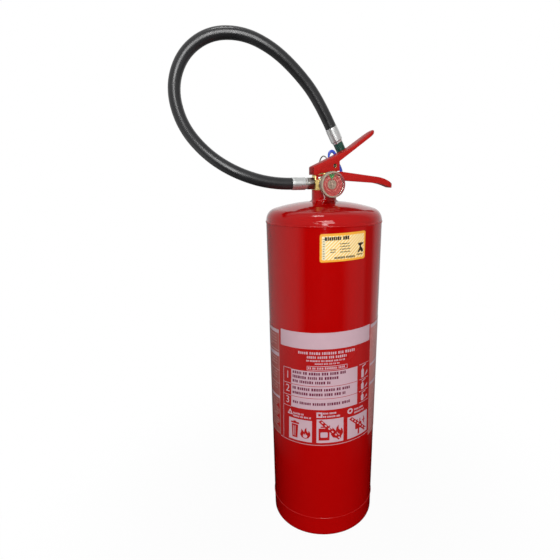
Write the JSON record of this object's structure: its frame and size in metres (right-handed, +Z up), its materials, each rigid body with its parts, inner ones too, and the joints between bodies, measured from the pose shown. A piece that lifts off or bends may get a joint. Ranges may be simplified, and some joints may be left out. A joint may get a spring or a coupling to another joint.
{
  "type": "fire extinguisher",
  "caption": "Tall red water extinguisher with squeeze lever, carry handle, pull pin, pressure gauge and a looped rubber hose with a short nozzle.",
  "frame": {"origin": "centre of the foot ring, on the floor", "axes": "+Z up along the vessel; +X the way the lever and the handle point; -Y the way the gauge faces; -X the hose outlet"},
  "size_m": [0.3311, 0.181, 0.7967],
  "materials": {
    "red_paint": "gloss baked enamel over steel",
    "lever_paint": "satin baked enamel over pressed steel",
    "valve_brass": "turned and forged brass",
    "plated_steel": "zinc plated",
    "ferrule_alloy": "swaged aluminium",
    "black_rubber": "ribless rubber hose cover",
    "nylon": "natural nylon",
    "nozzle_green": "dark green moulded",
    "clip_black": "moulded",
    "seal_blue": "moulded",
    "gauge_metal": "nickel plated",
    "bezel_plastic": "pale khaki",
    "gauge_glass": "clear polycarbonate",
    "dial_print": "printed red and green",
    "needle_metal": "plated",
    "label_film": "printed vinyl film"
  },
  "bodies": {
    "extinguisher": {"body_shell": "red_paint", "top_dome": "red_paint", "bottom_cap": "red_paint", "lower_weld_bead": "red_paint", "upper_weld_bead": "red_paint", "neck_collar": "red_paint", "neck_weld": "red_paint", "valve_body": "valve_brass", "neck_o_ring": "black_rubber", "stem_gland": "valve_brass", "stem_o_ring": "black_rubber", "stem_spring": "plated_steel", "dip_tube_adapter": "nylon", "dip_tube": "nylon", "inlet_strainer": "nylon", "carry_handle": "lever_paint", "handle_screws": "plated_steel", "pivot_pin": "lever_paint", "pivot_spacers": "nylon", "gauge_stem": "valve_brass", "gauge_washer": "nylon", "gauge_case": "gauge_metal", "gauge_bezel": "bezel_plastic", "gauge_lens": "gauge_glass", "gauge_dial": "dial_print", "dial_hub_plate": "dial_print", "bourdon_tube": "valve_brass", "hose_nut": "plated_steel", "hose_tail": "valve_brass", "hose_ferrule": "ferrule_alloy", "hose": "black_rubber", "nozzle_ferrule": "ferrule_alloy", "nozzle": "nozzle_green", "nozzle_clip": "clip_black", "clip_bracket": "plated_steel", "bracket_screws": "plated_steel", "front_label": "label_film", "left_label": "label_film", "right_label": "label_film", "inspection_sticker": "label_film"},
    "lever": {"trigger_lever": "lever_paint"},
    "stem": {"valve_stem": "valve_brass", "seat_washer": "black_rubber"},
    "pin": {"safety_pin": "plated_steel", "tamper_seal": "seal_blue"},
    "ring": {"pull_ring": "plated_steel"},
    "needle": {"gauge_needle": "needle_metal", "needle_spindle": "needle_metal"}
  },
  "joints": [
    {"name": "lever_squeeze", "type": "hinge", "parent": "extinguisher", "child": "lever", "pos_m": [-0.0115, 0, 0.60848], "axis": [0, 1, 0], "range_deg": [0, 12], "stiffness_Nm_per_rad": 2, "springref_deg": -5.73},
    {"name": "stem_press", "type": "slide", "parent": "extinguisher", "child": "stem", "axis": [0, 0, -1], "range_m": [0, 0.0028], "deforming": ["stem_spring"]},
    {"name": "pin_pull", "type": "slide", "parent": "extinguisher", "child": "pin", "axis": [0, 1, 0], "range_m": [0, 0.04]},
    {"name": "ring_swing", "type": "hinge", "parent": "pin", "child": "ring", "pos_m": [0.0134, 0.0189, 0.6132], "axis": [0, 0, -1], "range_deg": [-77, 8]},
    {"name": "needle_turn", "type": "hinge", "parent": "extinguisher", "child": "needle", "pos_m": [0, -0.0344, 0.5869], "axis": [0, 1, 0], "range_deg": [-90, 60], "stiffness_Nm_per_rad": 0.001}
  ],
  "couplings": [
    {"joint": "stem_press", "follows": "lever_squeeze", "m_per_rad": 0.01325}
  ]
}
